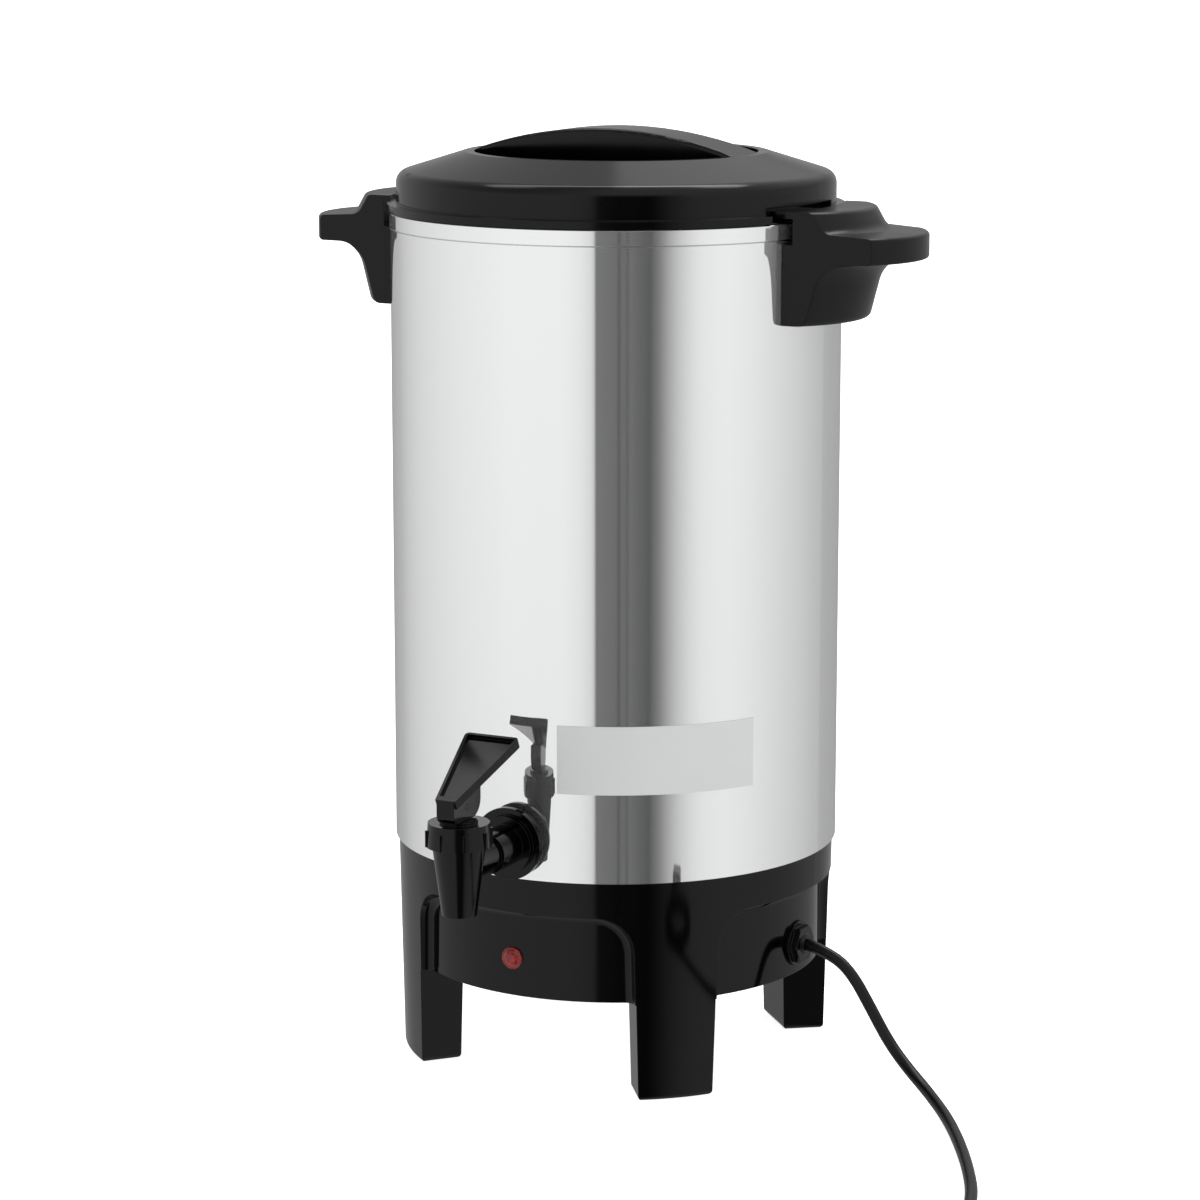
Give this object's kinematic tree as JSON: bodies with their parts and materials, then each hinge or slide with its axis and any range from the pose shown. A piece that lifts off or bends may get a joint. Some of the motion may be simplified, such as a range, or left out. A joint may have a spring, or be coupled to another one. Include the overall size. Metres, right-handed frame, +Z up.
{
  "type": "coffee urn",
  "caption": "Percolator coffee urn: polished steel drum on a black four-legged base, twist-lock lid, side handles, sprung tap, basket and tube inside, mains cord.",
  "frame": {"origin": "on the drum's axis, in the plane of the table that the four feet stand on", "axes": "+Z up along the drum's axis; the tap points along -Y; the handles lie along +X and -X"},
  "size_m": [0.5532, 0.3996, 0.4581],
  "materials": {
    "polished_steel": "mirror polished",
    "zinc_steel": "satin",
    "aluminium": "satin",
    "gloss_black": "gloss",
    "satin_black": "satin",
    "red_lens": "clear red, faceted",
    "lamp_glass": "clear",
    "silicone": "matte",
    "nylon": "matte",
    "heater_sheath": "dark oxide",
    "cord_rubber": "satin",
    "blade_brass": "plated"
  },
  "bodies": {
    "urn": {"tank": "polished_steel", "tank_studs": "zinc_steel", "stud_nuts": "zinc_steel", "base_housing": "gloss_black", "bottom_cover": "zinc_steel", "lamp_lens": "red_lens", "lamp_nut": "nylon", "neon_lamp": "lamp_glass", "cord_gland": "gloss_black", "gland_nut": "nylon", "power_cord": "cord_rubber", "cord_coil": "cord_rubber", "cord_tail": "cord_rubber", "plug_body": "cord_rubber", "plug_pins": "blade_brass", "heating_element": "heater_sheath", "keep_warm_heater": "heater_sheath", "thermostat": "zinc_steel", "thermal_fuse": "nylon", "terminal_block": "nylon", "handle_right": "satin_black", "handle_left": "satin_black", "handle_screws": "zinc_steel", "outer_gasket": "cord_rubber", "inner_gasket": "silicone", "tap_nut": "satin_black", "tap_body": "gloss_black", "tap_bonnet": "gloss_black"},
    "tap_stem": {"tap_stem": "satin_black", "seat_cup": "silicone", "tap_spring": "zinc_steel", "lever_pin": "satin_black"},
    "tap_lever": {"lever": "gloss_black"},
    "lid_seal": {"lid_seal": "silicone"},
    "lid": {"lid_shell": "satin_black"},
    "percolator": {"percolator_foot": "aluminium", "percolator_tube": "aluminium"},
    "basket": {"coffee_basket": "aluminium"},
    "basket_lid": {"basket_lid": "aluminium"}
  },
  "joints": [
    {"name": "stem_lift", "type": "slide", "parent": "urn", "child": "tap_stem", "axis": [0, 0, 1], "range_m": [0, 0.0056], "stiffness_N_per_m": 500, "springref_m": -0.008, "deforming": ["tap_spring"]},
    {"name": "lever_tilt", "type": "hinge", "parent": "tap_stem", "child": "tap_lever", "pos_m": [0, -0.1645, 0.1563], "axis": [1, 0, 0], "range_deg": [0, 35]},
    {"name": "lid_lift", "type": "slide", "parent": "urn", "child": "lid_seal", "axis": [0, 0, 1], "range_m": [0, 0.06]},
    {"name": "lid_turn", "type": "hinge", "parent": "lid_seal", "child": "lid", "pos_m": [0, 0, 0.418], "axis": [0, 0, 1], "range_deg": [-13, 0]},
    {"name": "percolator_lift", "type": "slide", "parent": "urn", "child": "percolator", "axis": [0, 0, 1], "range_m": [0, 0.02]},
    {"name": "basket_lift", "type": "slide", "parent": "percolator", "child": "basket", "axis": [0, 0, 1], "range_m": [0, 0.018]},
    {"name": "basket_lid_lift", "type": "slide", "parent": "basket", "child": "basket_lid", "axis": [0, 0, 1], "range_m": [0, 0.015]}
  ],
  "couplings": [
    {"joint": "lever_tilt", "follows": "stem_lift", "rad_per_m": 108.7}
  ]
}
